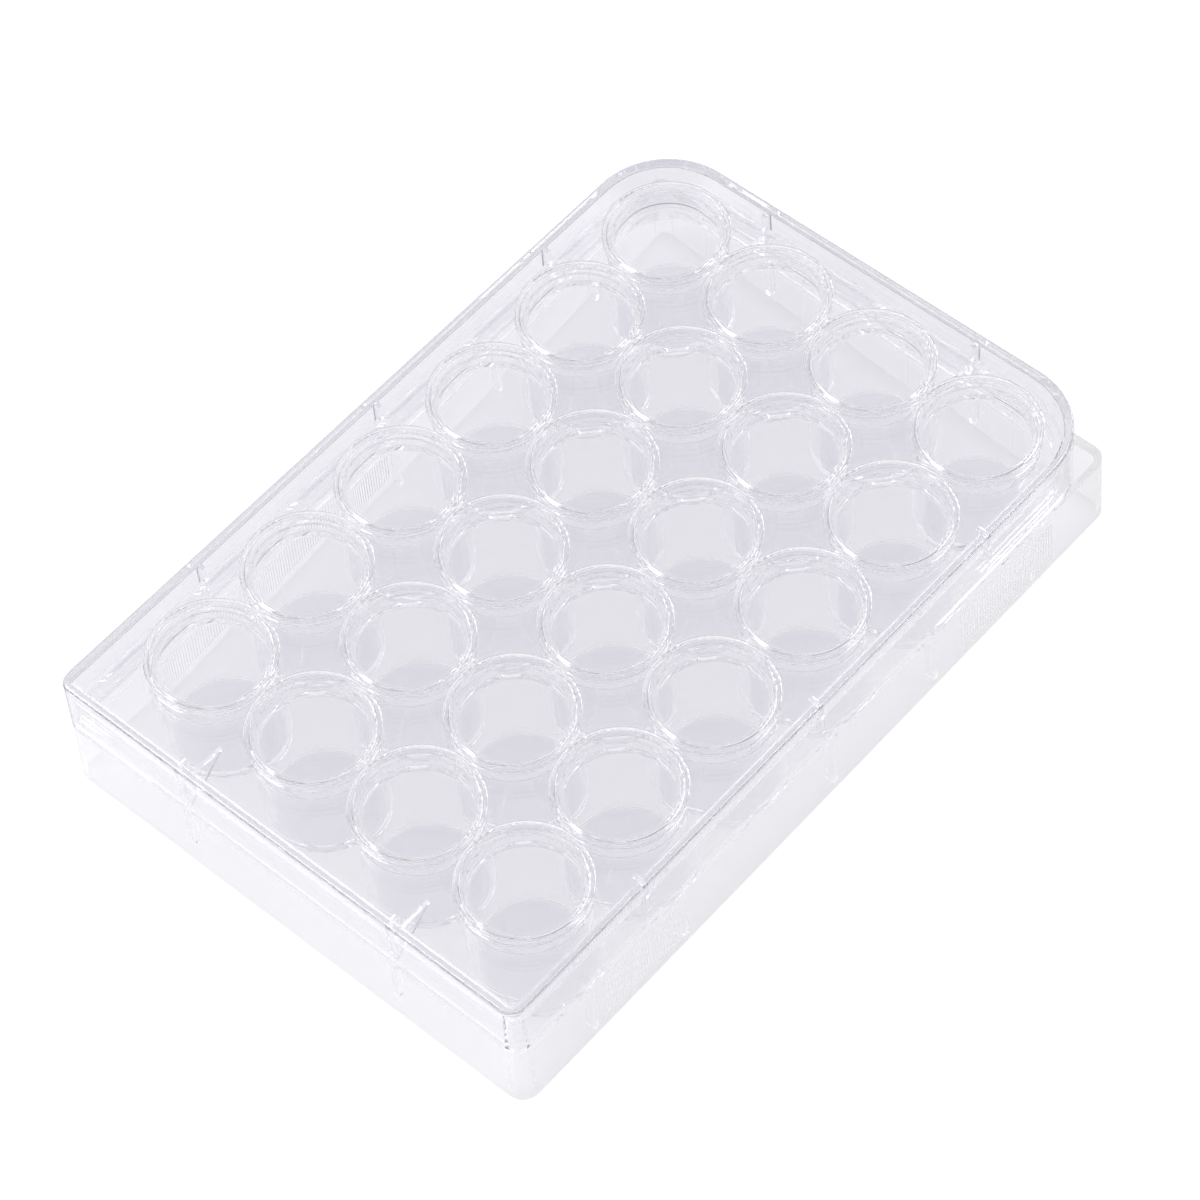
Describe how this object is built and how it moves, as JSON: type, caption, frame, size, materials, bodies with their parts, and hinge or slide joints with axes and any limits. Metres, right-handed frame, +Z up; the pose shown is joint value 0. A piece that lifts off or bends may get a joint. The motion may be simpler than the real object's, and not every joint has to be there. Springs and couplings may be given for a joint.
{
  "type": "well plate",
  "caption": "Clear polystyrene culture plate with a grid of round flat-bottomed wells, a skirted foot and a loose keyed lid.",
  "frame": {"origin": "middle of the footprint, on the surface that the skirt stands on", "axes": "+X along the six columns, towards the end with the two large keyed corners; +Y along the four rows; +Z up through the lid"},
  "size_m": [0.1278, 0.0854, 0.0222],
  "materials": {
    "plate_polystyrene": "clear, polished",
    "lid_polystyrene": "clear, polished"
  },
  "bodies": {
    "root": {"well_plate": "plate_polystyrene", "lid": "lid_polystyrene"}
  },
  "joints": []
}
